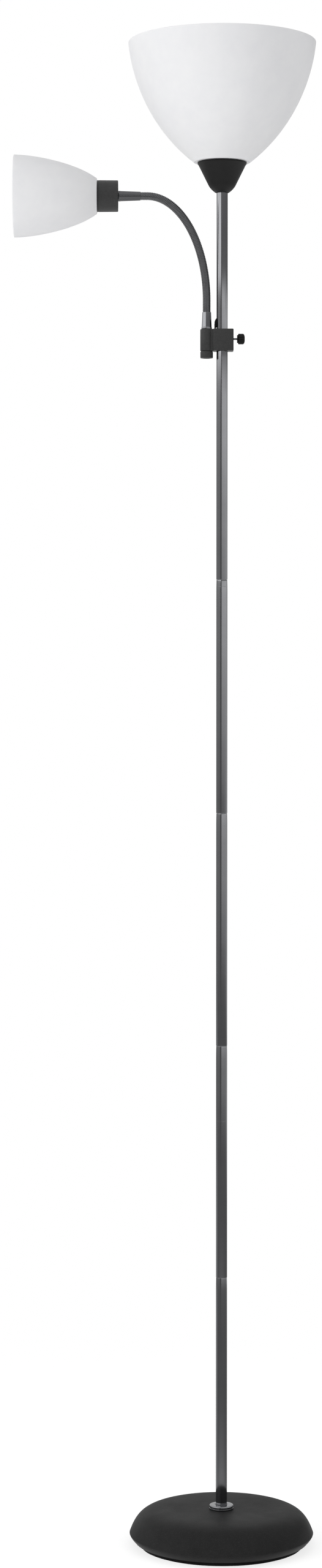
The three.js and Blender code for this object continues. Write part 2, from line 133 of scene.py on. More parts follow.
def material(name, dark, light, rough, metallic=0.0, patch=22.0, grain=1500.0, bump=0.15, depth=0.0001,
             stretch=(1, 1, 1), scratches=0.0, dust=0.0, speck=0.0, uv=False, **sockets):
    """A surface with mottled colour, uneven gloss, grain and, if asked, scratches, dust and flakes."""
    mat = bpy.data.materials.new(name)
    mat.use_nodes = True
    tree = mat.node_tree
    shader = tree.nodes["Principled BSDF"]
    source = node(tree, "ShaderNodeTexCoord")
    coords = source.outputs["UV" if uv else "Object"]

    mottle = noise(tree, coords, patch, 6, 0.62)
    cloud = noise(tree, coords, patch * 5.3, 4, 0.6, offset=3.1)
    both = math_node(tree, "ADD", mottle, cloud)
    share = remap(tree, both, 0.72, 1.28, 0, 1)
    colour = mix_colour(tree, share, dark, light)

    fine = noise(tree, coords, grain, 4, 0.65, stretch=stretch, offset=7.7)
    gloss = noise(tree, coords, patch * 2.1, 5, 0.6, stretch=stretch, offset=11.3)
    roughness = remap(tree, gloss, 0.3, 0.7, rough[0], rough[1])
    height = fine

    if speck:
        cells = node(tree, "ShaderNodeTexVoronoi", {"Vector": coords, "Scale": 1 / speck, "Randomness": 1.0})
        flake = remap(tree, cells.outputs["Color"], 0.62, 0.95, 0, 1)
        brighter = tuple(min(1, 1.35 * c) for c in light[:3]) + (1,)
        colour = mix_colour(tree, flake, colour, brighter)
    if scratches:
        lines = noise(tree, coords, 260, 2, 0.5, stretch=(1, 1, 0.035), offset=5.0)
        cross = noise(tree, coords, 190, 2, 0.5, stretch=(0.05, 0.7, 1), offset=9.0)
        along = remap(tree, lines, 0.66, 0.72, 0, 1)
        marks = math_node(tree, "MAXIMUM", along, remap(tree, cross, 0.69, 0.73, 0, 1))
        roughness = math_node(tree, "MULTIPLY_ADD", marks, scratches, roughness)
        height = math_node(tree, "MULTIPLY_ADD", marks, -0.5, fine)
    if dust:
        facing = node(tree, "ShaderNodeNewGeometry").outputs["Normal"]
        normal = node(tree, "ShaderNodeSeparateXYZ", {0: facing})
        upward = remap(tree, normal.outputs["Z"], 0.75, 1.0, 0, dust)
        colour = mix_colour(tree, math_node(tree, "MULTIPLY", upward, cloud), colour, grey(150))

    relief = node(tree, "ShaderNodeBump", {"Strength": bump, "Distance": depth, "Height": height})
    tree.links.new(colour, shader.inputs["Base Color"])
    tree.links.new(roughness, shader.inputs["Roughness"])
    tree.links.new(relief.outputs[0], shader.inputs["Normal"])
    shader.inputs["Metallic"].default_value = metallic
    for key, value in sockets.items():
        shader.inputs[key.replace("_", " ")].default_value = value
    return mat


STEEL = (0.97, 0.98, 1.02)
MATS = {
    "charcoal_base": material("charcoal_paint", grey(31), grey(36), (0.46, 0.54), 0, 14, 2600, 0.25, 0.00006,
                              speck=0.0007, dust=0.005, Specular_IOR_Level=0.08),
    "gunmetal": material("gunmetal_plate", grey(146, STEEL), grey(153, STEEL), (0.1, 0.13), 1, 9, 1800, 0.02,
                         0.00002, stretch=(1, 1, 0.04), scratches=0.08),
    "opal_shade": material("opal_plastic", grey(226, (0.99, 0.993, 1.018)), grey(230, (0.995, 0.997, 1.012)),
                           (0.36, 0.44), 0, 11, 900, 0.03, 0.00006, Subsurface_Weight=0.25,
                           Subsurface_Radius=(0.006, 0.006, 0.0066), Subsurface_Scale=1.0, IOR=1.45),
    "black_plastic": material("black_plastic", grey(7), grey(12), (0.44, 0.54), 0, 30, 1400, 0.22, 0.00008,
                              speck=0.0006, dust=0.02, Specular_IOR_Level=0.3),
    "grey_plastic": material("grey_plastic", grey(44), grey(50), (0.42, 0.52), 0, 30, 1500, 0.22, 0.00008,
                             speck=0.0005, dust=0.03, Specular_IOR_Level=0.35),
    "neck_steel": material("neck_steel", grey(94, STEEL), grey(108, STEEL), (0.2, 0.27), 1.0, 0.9, 60, 0.04,
                           0.00003, uv=True),
    "zinc_steel": material("zinc_steel", grey(176), grey(196, STEEL), (0.28, 0.4), 1, 60, 1700, 0.12, 0.00005,
                           speck=0.0012),
    "brass": material("brass", grey(176, (1.12, 0.84, 0.42)), grey(196, (1.15, 0.9, 0.5)), (0.25, 0.36), 1.0,
                      80, 1800, 0.08, 0.00004),
    "bulb_cap": material("bulb_cap_steel", grey(186), grey(205), (0.24, 0.34), 1.0, 70, 1900, 0.08, 0.00004),
    "bulb_globe": material("bulb_glass", grey(236), grey(242), (0.22, 0.3), 0, 16, 1200, 0.03, 0.00005,
                           Subsurface_Weight=0.3, Subsurface_Radius=(0.004, 0.004, 0.004),
                           Subsurface_Scale=1.0),
    "cement": material("cement", grey(120, (1, 0.99, 0.95)), grey(158, (1, 0.99, 0.96)), (0.8, 0.95), 0, 45,
                       700, 0.8, 0.0006, speck=0.0016),
    "foam": material("foam", grey(8), grey(14), (0.85, 0.95), 0, 60, 1200, 0.9, 0.0003, speck=0.0009,
                     Specular_IOR_Level=0.2),
    "rubber": material("rubber", grey(12), grey(18), (0.6, 0.75), 0, 50, 1500, 0.3, 0.0001,
                       Specular_IOR_Level=0.3),
    "cable_sheath": material("cable_sheath", grey(16), grey(23), (0.45, 0.6), 0, 60, 1300, 0.2, 0.00008,
                             Specular_IOR_Level=0.35),
}


# Meshes

def rounded(points, steps=5, ring=True):
    """Corners given as (radius, height, fillet) become smooth curves of that size."""
    out = []
    count = len(points)
    for i, point in enumerate(points):
        fillet = point[2] if len(point) > 2 else 0
        if not fillet or (not ring and i in (0, count - 1)):
            out.append(tuple(point[:2]))
            continue
        here = Vector(point[:2])
        back = Vector(points[i - 1][:2]) - here
        ahead = Vector(points[(i + 1) % count][:2]) - here
        half = back.angle(ahead) / 2
        reach = min(fillet / math.tan(half), 0.49 * back.length, 0.49 * ahead.length)
        first = here + back.normalized() * reach
        last = here + ahead.normalized() * reach
        for k in range(steps + 1):
            t = k / steps
            spot = first * (1 - t) ** 2 + here * 2 * t * (1 - t) + last * t * t
            out.append(tuple(spot))
    return out


def finish_mesh(name, bm, sharp=32):
    bmesh.ops.recalc_face_normals(bm, faces=bm.faces)
    mesh = bpy.data.meshes.new(name)
    bm.to_mesh(mesh)
    bm.free()
    mesh.polygons.foreach_set("use_smooth", [True] * len(mesh.polygons))
    mesh.set_sharp_from_angle(angle=math.radians(sharp))
    made = bpy.data.objects.new(name, mesh)
    bpy.context.scene.collection.objects.link(made)
    return made


def grid(name, rows, ring, sharp=32, caps=False):
    """Joins rows of points into a skin. ring joins the last row to the first. A row may be a single point."""
    bm = bmesh.new()
    layer = bm.loops.layers.uv.new("UVMap")
    made = [[bm.verts.new(Vector(p) * MM) for p in row] for row in rows]
    sides = max(len(row) for row in rows)
    pairs = list(zip(made, made[1:])) + ([(made[-1], made[0])] if ring else [])
    for j, (a, b) in enumerate(pairs):
        for i in range(sides):
            k = (i + 1) % sides
            corners = [(a, i, 0), (a, k, 0), (b, k, 1), (b, i, 1)]
            verts, uvs = [], []
            for row, at, up in corners:
                vert = row[at] if len(row) > 1 else row[0]
                if vert in verts:
                    continue
                verts.append(vert)
                turn = (i + 1) / sides if at == k else i / sides
                uvs.append((turn, (j + up) / len(pairs)))
            if len(verts) < 3:
                continue
            face = bm.faces.new(verts)
            for loop, uv in zip(face.loops, uvs):
                loop[layer].uv = uv
    if caps:
        bm.faces.new(list(reversed(made[0])))
        bm.faces.new(made[-1])
    return finish_mesh(name, bm, sharp)


def turned(name, outline, place, sides=96, shape=None, sharp=32, ring=True):
    """A solid of revolution. shape(radius, height, angle) may return another radius, for ribs and threads."""
    rows = []
    for radius, height in outline:
        if radius < 1e-6:
            rows.append([place @ Vector((0, 0, height))])
            continue
        row = []
        for i in range(sides):
            angle = TURN * i / sides
            r = shape(radius, height, angle) if shape else radius
            row.append(place @ Vector((r * math.cos(angle), r * math.sin(angle), height)))
        rows.append(row)
    on_axis = outline[0][0] < 1e-6 and outline[-1][0] < 1e-6
    return grid(name, rows, ring and not on_axis, sharp)


def prism(name, plan, levels, place):
    """A closed plan outline stacked at (height, inset) levels, so that its edges are rounded."""
    count = len(plan)
    area = sum(plan[i - 1][0] * plan[i][1] - plan[i][0] * plan[i - 1][1] for i in range(count))
    points = [Vector(p) for p in (plan if area > 0 else list(reversed(plan)))]
    normals = []
    for i in range(count):
        edge = points[(i + 1) % count] - points[i - 1]
        normals.append(Vector((edge.y, -edge.x)).normalized())
    rows = []
    for height, inset in levels:
        rows.append([place @ Vector((*(p - n * inset), height)) for p, n in zip(points, normals)])
    return grid(name, rows, False, caps=True)


def tube(name, path, radius, sides=24):
    """A round cord along 3-D points, with flat ends."""
    rows = []
    points = [Vector(p) for p in path]
    for i, here in enumerate(points):
        ahead = (points[min(i + 1, len(points) - 1)] - points[max(i - 1, 0)]).normalized()
        side = ahead.cross(Vector((0, 1, 0))).normalized()
        other = ahead.cross(side)
        rows.append([here + radius * (side * math.cos(TURN * k / sides) + other * math.sin(TURN * k / sides))
                     for k in range(sides)])
    return grid(name, rows, False, caps=True)


def carve(body, *tools):
    """Cuts the tools out of the body for good."""
    for tool in tools:
        cutter = body.modifiers.new("cut", "BOOLEAN")
        cutter.operation = "DIFFERENCE"
        cutter.solver = "EXACT"
        cutter.object = tool
    bpy.context.view_layer.update()
    done = bpy.data.meshes.new_from_object(body.evaluated_get(bpy.context.evaluated_depsgraph_get()))
    body.modifiers.clear()
    body.data = done
    done.polygons.foreach_set("use_smooth", [True] * len(done.polygons))
    done.set_sharp_from_angle(angle=math.radians(32))
    for tool in tools:
        bpy.data.objects.remove(tool)
    return body


def piece(obj, body, slot, *nodes):
    """Gives a new piece its finish and lets it ride on its body in place of its CAD nodes."""
    obj.data.materials.clear()
    obj.data.materials.append(MATS[slot])
    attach(obj, body)
    if nodes:
        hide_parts(*nodes)
    return obj


def ribs(count, depth, low_radius=0.0):
    """Rounded ribs round the outside of anything wider than low_radius."""
    def shape(radius, height, angle):
        if radius < low_radius:
            return radius
        wave = abs(math.sin(count * angle / 2))
        return radius - depth * (1 - wave) ** 1.6
    return shape


def thread(pitch, depth, low_radius=0.0, bottom=-1e9, top=1e9):
    """A rounded screw thread between two heights."""
    def shape(radius, height, angle):
        if radius < low_radius or not bottom < height < top:
            return radius
        wave = 0.5 - 0.5 * math.cos(TURN * (height / pitch - angle / TURN))
        fade = min(1, (height - bottom) / pitch, (top - height) / pitch)
        return radius - depth * wave * fade
    return shape


def stepped(points, longest):
    """Splits an outline's long straight runs, so that a thread or taper has rows to follow."""
    out = []
    for a, b in zip(points, points[1:]):
        count = max(1, math.ceil(math.dist(a, b) / longest))
        out += [(a[0] + (b[0] - a[0]) * k / count, a[1] + (b[1] - a[1]) * k / count) for k in range(count)]
    out.append(points[-1])
    return out


# Base

RADIUS, FOOT = 111.0, 98.0
POWER, TUCK = 11, 1.4  # how square the dome's shoulder is, and how quickly the side turns in under it
SHELL_WALL, SHELL_HOLE = 1.4, 6.2
TOP = high("base_shell").z
SHELL_FOOT = low("base_shell").z
WIDEST = (low("cord_gland").z + high("cord_gland").z) / 2  # the cord inlet is in the widest ring


def dome(inset, hole, steps):
    """The base's dome from its centre hole out to its widest ring."""
    radius = RADIUS - inset
    rise = TOP - inset - WIDEST
    points = []
    for i in range(steps + 1):
        r = max(radius * (1 - (1 - i / steps) ** 2), hole)
        if not points or r > points[-1][0] + 0.01:
            points.append((r, WIDEST + rise * (1 - (r / radius) ** POWER)))
    return points


def tuck(inset, bottom, steps):
    """The side under the widest ring."""
    points = []
    for i in range(1, steps + 1):
        z = WIDEST + (bottom - WIDEST) * i / steps
        points.append((RADIUS - inset - (RADIUS - FOOT) * (1 - z / WIDEST) ** TUCK, z))
    return points


def build_base():
    outside = dome(0, SHELL_HOLE, 44) + tuck(0, SHELL_FOOT + 0.8, 12)
    inside = dome(SHELL_WALL, SHELL_HOLE, 30) + tuck(SHELL_WALL, SHELL_FOOT + 0.8, 8)
    foot_out, foot_in = outside[-1], inside[-1]
    middle = (foot_out[0] + foot_in[0]) / 2
    lip = [(foot_out[0] - 0.35, SHELL_FOOT + 0.22), (middle, SHELL_FOOT + 0.02),
           (foot_in[0] + 0.25, SHELL_FOOT + 0.2)]
    shell = turned("base_dome", outside + lip + inside[::-1], upright(0), 160)
    hole = turned("gland_hole", [(0, 84), (4.2, 84), (4.2, 118), (0, 118)],
                  Matrix.Translation((0, 0, WIDEST)) @ Matrix.Rotation(-math.pi / 2, 4, "X"), 40)
    piece(carve(shell, hole), "stand", "charcoal_base", "base_shell")

    top = high("floor_pad").z
    r = high("floor_pad").x
    outline = rounded([(0, 0), (r, 0, 0.6), (r - 0.3, top, 0.9), (0, top)], ring=False)
    pad = turned("foam_pad", outline, upright(0), 160,
                 lambda r, z, a: r + 0.12 * math.sin(9 * a) + 0.08 * math.sin(23 * a + 1) - 0.2)
    piece(pad, "stand", "foam", "floor_pad")

    start, end = low("cord_gland").y, high("cord_gland").y
    gland = rounded([
        (2.3, start, 0.3), (4.6, start, 0.5), (4.6, start + 2, 0.3), (3.9, start + 2, 0.15),
        (3.9, end - 1.7, 0.15), (5.2, end - 1.7, 0.3), (5.2, end, 0.8), (2.3, end, 0.5),
    ])
    place = Matrix.Translation((0, 0, WIDEST)) @ Matrix.Rotation(-math.pi / 2, 4, "X")
    piece(turned("rubber_gland", gland, place, 64), "stand", "rubber", "cord_gland")

    z = low("foot_collar").z
    height = high("foot_collar").z - z
    collar = rounded([
        (7.1, 0, 0.2), (14.5, 0, 0.25), (14.5, 1.3, 0.15), (14.1, 1.5, 0.15), (14.1, 1.9, 0.15),
        (14.5, 2.1, 0.15), (14.5, height - 0.1, 2.1), (8.4, height, 0.25), (7.9, height - 0.5, 0.2),
        (7.1, height - 0.5, 0.15),
    ])
    piece(turned("pole_collar", collar, upright(z), 96), "stand", "gunmetal", "foot_collar")


# Pole

POLE_R = 6.8
NECKED, TAPER = 0.22, 15.0


def build_pole():
    for i in range(1, 7):
        name = f"pole_tube_{i}"
        z, top = low(name).z, high(name).z
        height = top - z
        outer = [(5.9, 0, 0.1), (POLE_R, 0, 0.28)]
        if i < 6:
            outer += [(POLE_R - NECKED * (k / 12) ** 2, height - TAPER + TAPER * k / 12) for k in range(12)]
            outer.append((POLE_R - NECKED, height, 0.22))
        else:
            outer.append((POLE_R, height, 0.28))
        outline = rounded(outer + [(5.9, height, 0.1)], 4)
        pipe = turned(f"tube_{i}", outline, upright(z), 96)
        if i == 6:
            hole_low, hole_high = low("lead_bush").z + 0.4, low("lead_bush").z + 9.4
            slot = [(-9.8, -2.4), (-4.6, -2.4), (-4.6, 2.4), (-9.8, 2.4)]
            carve(pipe, prism("bush_slot", slot, [(hole_low, 0), (hole_high, 0)], upright(0)))
        piece(pipe, "stand", "gunmetal", name)


# Shades and bulbs. Radii, heights and pitches of the lampholders and of what screws into them.

TOP_HOLDER = {
    "foot": 11.5, "body": 17.5, "flange": 24, "flange_height": 2.2, "sleeve": 19.6, "sleeve_length": 18,
    "bore": 5.9, "cavity": 15, "floor": 9,
}
READ_HOLDER = {
    "foot": 13, "body": 15, "flange": 16.6, "flange_height": 2, "sleeve": 13.7, "sleeve_length": 15,
    "bore": 4.3, "cavity": 9.5, "floor": 5.5,
}
TOP_BULB = {"neck": 14, "globe": 30, "shell_in": 13.7, "shell_out": 14.2, "cap": 13, "pitch": 3.6}
READ_BULB = {"neck": 8, "globe": 22.5, "shell_in": 7.6, "shell_out": 8.1, "cap": 6.8, "pitch": 2.6}
BULB_WALL = 1.2
SHADE_WALL = 2.0
INNER_START = 0.03


def bezier(neck, neck_pull, rim, rim_pull, height, inset, start, steps):
    p0 = Vector((neck - inset, 0))
    p1 = p0 + Vector(neck_pull)
    p3 = Vector((rim - inset, height))
    p2 = p3 - Vector(rim_pull)
    points = []
    for i in range(steps + 1):
        t = start + (1 - start) * i / steps
        spot = p0 * (1 - t) ** 3 + p1 * 3 * t * (1 - t) ** 2 + p2 * 3 * t * t * (1 - t) + p3 * t ** 3
        points.append((spot.x, spot.y))
    return points


def shade_outline(neck, neck_pull, rim, rim_pull, height, hole, steps=44):
    """A moulded shade: full rounded rim, soft bottom edge, and a floor with a hole for the lampholder."""
    wall = SHADE_WALL
    outside = bezier(neck, neck_pull, rim, rim_pull, height, 0, 0, steps)
    inside = bezier(neck, neck_pull, rim, rim_pull, height, wall, INNER_START, steps)
    floor = inside[0][1]
    points = [(hole, 0, 0.3), (*outside[0], 1.0)] + outside[1:-1]
    points += [(*outside[-1], wall * 0.47), (*inside[-1], wall * 0.47)] + inside[1:-1][::-1]
    points += [(*inside[0], 1.2), (hole, floor, 0.3)]
    return rounded(points, 6)


def build_top_light():
    z = low("shade_cup").z
    bend_r, bend_z, end_r, end_z, wall = 16.5, 9.2, 29.5, 35.7, 1.8
    slope = (end_r - bend_r) / (end_z - bend_z)
    flare = []
    p0, p1, p2 = Vector((8, 0)), Vector((bend_r - 5 * slope, bend_z - 5)), Vector((bend_r, bend_z))
    for i in range(15):
        t = i / 14
        spot = p0 * (1 - t) ** 2 + p1 * 2 * t * (1 - t) + p2 * t * t
        flare.append((spot.x, spot.y))
    top = high("shade_cup").z - z
    cup = [(5.9, 0, 0.2), (flare[0][0], 0, 0.5)] + flare[1:]
    cup += [(end_r - 1.1, end_z - 2.5), (end_r - 0.35, end_z - 1.9, 0.3)]
    cup += [(end_r, top, 0.5), (end_r - wall, top, 0.5)]
    cup += [(bend_r - wall, bend_z, 1.5), (bend_r - 2 * wall - 1, 4, 1.0), (5.9, 4, 0.2)]
    piece(turned("black_cup", rounded(cup), upright(z), 128), "stand", "black_plastic", "shade_cup")

    z = low("top_shade").z
    outline = shade_outline(33.6, (60, 46.6), 112, (2.7, 30.5), high("top_shade").z - z, 20.2)
    piece(turned("bowl_shade", outline, upright(z), 192), "stand", "opal_shade", "top_shade")

    z = low("top_shade_ring").z
    height = high("top_shade_ring").z - z
    collar = rounded([(20.4, 0, 0.3), (24.4, 0, 0.3), (24.4, 1.2, 0.2), (25, 1.6, 0.3), (25, height, 1.0),
                      (21.2, height, 0.4), (20.4, height - 0.8, 0.4)])
    piece(turned("bowl_shade_ring", collar, upright(z), 240, ribs(40, 0.7, 24.9)), "stand", "black_plastic",
          "top_shade_ring")

    build_bulb("top", "bowl", "stand", upright, (low("top_lampholder").z, high("top_lampholder").z),
               TOP_HOLDER, TOP_BULB)


def build_bulb(prefix, name, body, place, span, holder, bulb):
    """Lampholder, screw shell, bulb cap and globe on one axis. span is where the holder starts and ends."""
    start, end = span
    total = abs(end - start)
    flange_top = total - holder["sleeve_length"]
    at = place(start)

    def local(node_name):
        lo, hi = low(node_name), high(node_name)
        a, b = (lo.z, hi.z) if prefix == "top" else (hi.x, lo.x)
        return abs(a - start), abs(b - start)

    body_r, foot, flange, sleeve = holder["body"], holder["foot"], holder["flange"], holder["sleeve"]
    flange_low = flange_top - holder["flange_height"]
    outline = rounded([
        (holder["bore"], 0, 0.2), (foot, 0, 0.5), (body_r, (body_r - foot) * 1.8, 1.0),
        (body_r, flange_low, 0.4), (flange, flange_low, 0.3), (flange, flange_top, 0.5),
        (sleeve, flange_top, 0.3), (sleeve, total, 0.7),
        (holder["cavity"], total, 0.5), (holder["cavity"], holder["floor"], 0.6), (2.6, holder["floor"], 0.2),
        (2.6, holder["floor"] - 3, 0.2), (holder["bore"], holder["floor"] - 3, 0.2),
    ])
    rows = stepped(outline + [outline[0]], 1.1)[:-1]
    shape = thread(3.0, 0.45, sleeve - 0.05, flange_top + 1.5, total - 1)
    piece(turned(f"{name}_lampholder", rows, at, 96, shape), body, "black_plastic", f"{prefix}_lampholder")

    a, b = local(f"{prefix}_screw_shell")
    shell_in, shell_out, pitch = bulb["shell_in"], bulb["shell_out"], bulb["pitch"]
    rows = stepped([(shell_in, a), (shell_out, a), (shell_out, b), (shell_in, b), (shell_in, a)], 0.5)[:-1]
    shell = turned(f"{name}_screw_shell", rows, at, 72, thread(pitch, 0.35, 0, a + 0.5, b - 0.5), sharp=60)
    piece(shell, body, "brass", f"{prefix}_screw_shell")

    a, b = local(f"{prefix}_bulb_cap")
    cap_r = bulb["cap"]
    outline = rounded([
        (0, a), (cap_r * 0.3, a, 0.3), (cap_r * 0.34, a + 0.9, 0.3), (cap_r - 0.5, a + 3.4, 0.6),
        (cap_r, a + 4, 0.4), (cap_r, b, 0.5), (0, b),
    ], ring=False)
    rows = stepped(outline, 0.5)
    shape = thread(pitch, 0.9, cap_r - 0.6, a + 4.2, b - 3)
    piece(turned(f"{name}_bulb_cap", rows, at, 72, shape, sharp=60), body, "bulb_cap", f"{prefix}_bulb_cap")

    a, b = local(f"{prefix}_bulb_globe")
    centre = b - bulb["globe"]

    def skin(r, n, foot_z):
        arc = []
        for i in range(33):
            angle = math.radians(-38 + 128 * i / 32)
            arc.append((max(r * math.cos(angle), 0), centre + r * math.sin(angle)))
        arc[-1] = (0, centre + r)
        first = Vector((n, foot_z))
        last = Vector(arc[0])
        bow = Vector((n + (r - n) * 0.3, foot_z + (centre - foot_z) * 0.42))
        neck_curve = []
        for i in range(12):
            t = i / 12
            spot = first * (1 - t) ** 2 + bow * 2 * t * (1 - t) + last * t * t
            neck_curve.append((spot.x, spot.y))
        return neck_curve + arc

    outside = skin(bulb["globe"], bulb["neck"], a)
    inside = skin(bulb["globe"] - BULB_WALL, bulb["neck"] - BULB_WALL, a)
    globe = turned(f"{name}_bulb", inside[::-1] + outside, at, 96)
    piece(globe, body, "bulb_globe", f"{prefix}_bulb_globe")


# Clamp

def build_clamp():
    lo, hi = low("clamp_body"), high("clamp_body")
    left, right, depth, barrel, web = -10.7, hi.x, 9.5, 7.7, 6.0
    tangent = math.sqrt(barrel ** 2 - web ** 2)
    start = math.degrees(math.atan2(web, tangent))
    plan = [(left, web, 0.8), (left, depth, 1.6), (right, depth, 2.2), (right, -depth, 2.2),
            (left, -depth, 1.6), (left, -web, 0.8), (NECK_X + tangent, -web, 0.8)]
    for i in range(1, 40):
        angle = math.radians(-start - (360 - 2 * start) * i / 40)
        plan.append((NECK_X + barrel * math.cos(angle), barrel * math.sin(angle)))
    plan.append((NECK_X + tangent, web, 0.8))
    plan = rounded(plan, 6)
    rise = hi.z - lo.z
    levels = [(0, 0.75), (0.22, 0.22), (0.75, 0), (rise - 0.75, 0), (rise - 0.22, 0.22), (rise, 0.75)]
    block = prism("clamp_block", plan, levels, upright(lo.z))
    bore = turned("bore", [(0, -2), (7.15, -2), (7.15, rise + 2), (0, rise + 2)], upright(lo.z), 80)
    stud = turned("stud", [(0, -2), (4.3, -2), (4.3, rise + 2), (0, rise + 2)], upright(lo.z, NECK_X), 64)
    screw_z = (low("thumbscrew_stem").z + high("thumbscrew_stem").z) / 2
    hole = turned("hole", [(0, 0), (1.65, 0), (1.65, -30), (0, -30)], sideways(0, screw_z), 40)
    half = math.radians(52)
    outer = [math.pi - half + 2 * half * i / 24 for i in range(25)]
    inner = [math.pi + half - 2 * half * i / 24 for i in range(25)]
    sector = [(10 * math.cos(angle), 10 * math.sin(angle)) for angle in outer]
    sector += [(6 * math.cos(angle), 6 * math.sin(angle)) for angle in inner]
    slot = prism("slot", sector, [(rise - 9, 0), (rise + 2, 0)], upright(lo.z))
    way = turned("way", [(0, 0), (1.6, 0), (1.6, 12), (0, 12)], sideways(-7, lo.z + 19), 32)
    piece(carve(block, bore, stud, hole, slot, way), "clamp", "grey_plastic", "clamp_body")

    z, top = low("clamp_nut").z, high("clamp_nut").z
    height = top - z
    nut = rounded([(4.3, 0, 0.3), (barrel - 0.1, 0, 0.9), (barrel - 0.1, height - 0.9, 0.15),
                   (barrel - 0.5, height - 0.6, 0.15), (barrel - 0.5, height, 0.15), (4.3, height, 0.3)])
    piece(turned("barrel_nut", nut, upright(z, NECK_X), 96), "clamp", "grey_plastic", "clamp_nut")

    z = hi.z
    stud_low = low("lower_ferrule").z - z
    socket = high("lower_ferrule").z - z
    ferrule = rounded([
        (2.2, stud_low, 0.2), (4, stud_low, 0.5), (4, 0.3, 0.1), (6.4, 0.3, 0.3), (6.4, 1.9, 0.5),
        (6.05, 2.4, 0.3), (5.3, socket, 0.35), (4.55, socket, 0.2), (4.5, socket - 10, 0.2),
        (2.2, socket - 10, 0.2),
    ])
    piece(turned("neck_foot", ferrule, upright(z, NECK_X), 96), "clamp", "gunmetal", "lower_ferrule")

    start, end = low("thumbscrew_stem").x, high("thumbscrew_stem").x
    east = Matrix.Translation((0, 0, screw_z)) @ Matrix.Rotation(math.pi / 2, 4, "Y")
    stem = stepped(rounded([(0, start), (1.35, start, 0.4), (1.35, end, 0.3), (0, end)], ring=False), 0.1)
    screw = turned("screw_stem", stem, east, 32, thread(0.8, 0.26, 1.2, start + 1, end - 0.5), sharp=60)
    piece(screw, "thumbscrew", "zinc_steel", "thumbscrew_stem")

    start, end = low("thumbscrew_knob").x, high("thumbscrew_knob").x
    knob = rounded([
        (0, end - 2.7), (1.65, end - 2.7, 0.1), (1.65, start, 0.2), (4.6, start, 0.3),
        (4.75, start + 0.8, 0.3), (6.3, start + 1.7, 0.5), (6.3, end - 1.9, 0.8), (4.9, end - 0.45, 0.5),
        (3.6, end - 0.4, 0.2),
        (3.3, end - 0.05, 0.2), (0, end),
    ], 5, ring=False)
    rows = stepped(knob, 0.7)
    piece(turned("screw_knob", rows, east, 216, ribs(18, 0.75, 5.2), sharp=50), "thumbscrew", "black_plastic",
          "thumbscrew_knob")

    z = low("lead_bush").z
    steps = 18
    rows = []
    levels = [(0, 0.2, 0.97), (0.35, 0.0, 1.0), (5.8, 0.0, 1.0), (7.6, 0.45, 0.97), (9.0, 1.15, 0.9),
              (9.9, 1.65, 0.78), (10.2, 1.9, 0.65)]
    for height, proud, spread in levels:
        row = []
        for i in range(steps + 1):
            angle = math.pi + (0.52 - 1.04 * i / steps) * spread
            edge = abs(2 * i / steps - 1) ** 6
            r = POLE_R + 2.28 - proud - 0.5 * edge
            row.append(Vector((r * math.cos(angle), r * math.sin(angle), z + height)))
        for i in range(steps + 1):
            angle = math.pi + (-0.52 + 1.04 * i / steps) * spread
            row.append(Vector((7.12 * math.cos(angle), 7.12 * math.sin(angle), z + height)))
        rows.append(row)
    hood = grid("bush_hood", rows, False, caps=True)
    drill = turned("drill", [(0, -1), (1.25, -1), (1.25, 5), (0, 5)], upright(z, -8.2), 32)
    piece(carve(hood, drill), "stand", "rubber", "lead_bush")

    z, top = low("reading_lead").z, high("reading_lead").z
    path = [(-8.2, 0, z + (top - z) * i / 24) for i in range(25)]
    piece(tube("short_lead", path, 1.0), "stand", "cable_sheath", "reading_lead")


# Gooseneck: a wound steel tube, made in seven pieces split along the frame's seven joints

LEAD, TAIL, JOINTS = 14.0, 8.0, 7
ACROSS = NECK_X - high("upper_ferrule").x - TAIL
RISE = HEAD_Z - high("lower_ferrule").z - LEAD
COIL_R, COIL_PITCH, COIL_DEPTH = 4.72, 1.9, 0.42
NECK_BORE, NECK_SIDES = 3.2, 40


def neck_arc(share):
    """A point on the gooseneck's quarter ellipse, from its foot at 0 to its top at 1."""
    angle = share * math.pi / 2
    foot = high("lower_ferrule").z
    return Vector((NECK_X - ACROSS * (1 - math.cos(angle)), 0, foot + LEAD + RISE * math.sin(angle)))


def neck_path(step=0.24):
    """Points with their directions along the gooseneck's axis, evenly spaced."""
    foot = high("lower_ferrule").z
    dense = [Vector((NECK_X, 0, foot + LEAD * i / 60)) for i in range(60)]
    dense += [neck_arc(i / 1200) for i in range(1201)]
    end = dense[-1].copy()
    dense += [end + Vector((-TAIL * i / 40, 0, 0)) for i in range(1, 41)]
    lengths = [0.0]
    for a, b in zip(dense, dense[1:]):
        lengths.append(lengths[-1] + (b - a).length)
    total = lengths[-1]
    count = round(total / step)
    spots, k = [], 0
    for i in range(count + 1):
        want = total * i / count
        while k < len(lengths) - 2 and lengths[k + 1] < want:
            k += 1
        share = (want - lengths[k]) / (lengths[k + 1] - lengths[k])
        spots.append((want, dense[k].lerp(dense[k + 1], share)))
    out = []
    for i, (want, spot) in enumerate(spots):
        ahead = (spots[min(i + 1, count)][1] - spots[max(i - 1, 0)][1]).normalized()
        out.append((want, spot, ahead))
    return out


def neck_ring(spot, ahead, length=None):
    """A ring round the gooseneck's axis: its wound outside at a length along it, or its bore without one."""
    side = Vector((0, 1, 0))
    out = side.cross(ahead).normalized()
    ring = []
    for i in range(NECK_SIDES):
        angle = TURN * i / NECK_SIDES
        r = NECK_BORE
        if length is not None:
            turn = (length / COIL_PITCH + angle / TURN) % 1.0
            r = COIL_R - COIL_DEPTH * abs(2 * turn - 1) ** 3
        ring.append(spot + r * (out * math.cos(angle) + side * math.sin(angle)))
    return ring


